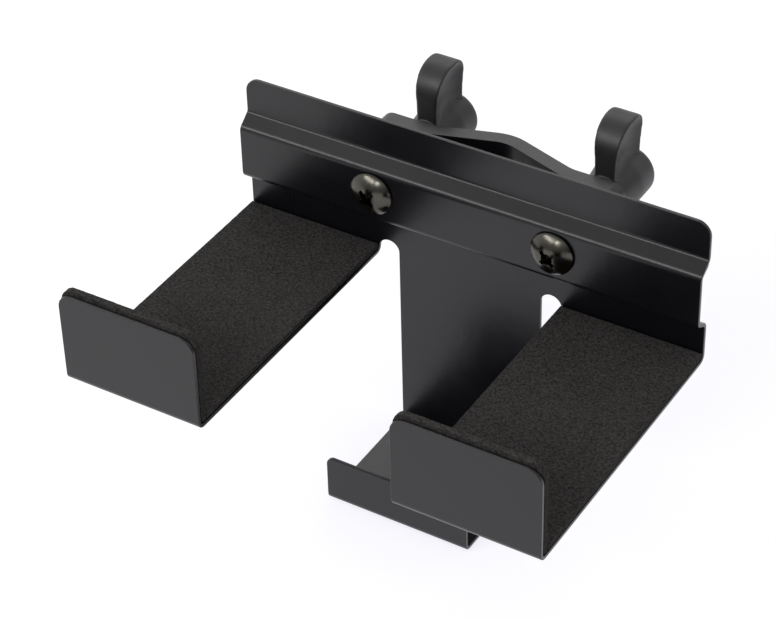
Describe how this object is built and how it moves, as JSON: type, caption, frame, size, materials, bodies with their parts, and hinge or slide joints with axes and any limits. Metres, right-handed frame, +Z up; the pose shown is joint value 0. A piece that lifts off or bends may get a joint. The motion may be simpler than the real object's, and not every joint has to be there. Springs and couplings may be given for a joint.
{
  "type": "mini percussion rack",
  "caption": "Small clamp-on percussion rack: bent black steel plate with foam-lined trays, a lower tray, and a V-shaped clamp bar on long screws with wing nuts.",
  "frame": {"origin": "on the plate's rear face where the stand tube bears, midway across the width and 18 mm below the screws", "axes": "+Z up along the stand tube, +X along the rack's width to the player's right, +Y to the back, where the clamp and the stand tube are; the trays reach out along -Y"},
  "size_m": [0.16, 0.1474, 0.1155],
  "materials": {
    "coated_steel": "satin black powder coat",
    "foam": "fine charcoal foam, matt",
    "black_screw": "polished black plating",
    "moulded_plastic": "moulded black, slightly glossy",
    "insert_steel": "plated"
  },
  "bodies": {
    "rack": {"rack_plate": "coated_steel", "floor_pad_left": "foam", "floor_pad_right": "foam", "lip_lining_left": "foam", "lip_lining_right": "foam", "clamp_screw_left": "black_screw", "clamp_screw_right": "black_screw"},
    "clamp": {"clamp_bar": "coated_steel"},
    "left_nut": {"wing_nut_left": "moulded_plastic", "nut_insert_left": "insert_steel"},
    "right_nut": {"wing_nut_right": "moulded_plastic", "nut_insert_right": "insert_steel"}
  },
  "joints": [
    {"name": "clamp_slide", "type": "slide", "parent": "rack", "child": "clamp", "axis": [0, 1, 0], "range_m": [-0.014, 0.01]},
    {"name": "left_nut_turn", "type": "hinge", "parent": "clamp", "child": "left_nut", "pos_m": [-0.0315, 0.0198, 0.018], "axis": [0, 1, 0], "range_deg": [-5041, 3601]},
    {"name": "right_nut_turn", "type": "hinge", "parent": "clamp", "child": "right_nut", "pos_m": [0.0315, 0.0198, 0.018], "axis": [0, 1, 0], "range_deg": [-5041, 3601]}
  ],
  "couplings": [
    {"joint": "left_nut_turn", "follows": "clamp_slide", "rad_per_m": 6283.2},
    {"joint": "right_nut_turn", "follows": "clamp_slide", "rad_per_m": 6283.2}
  ]
}
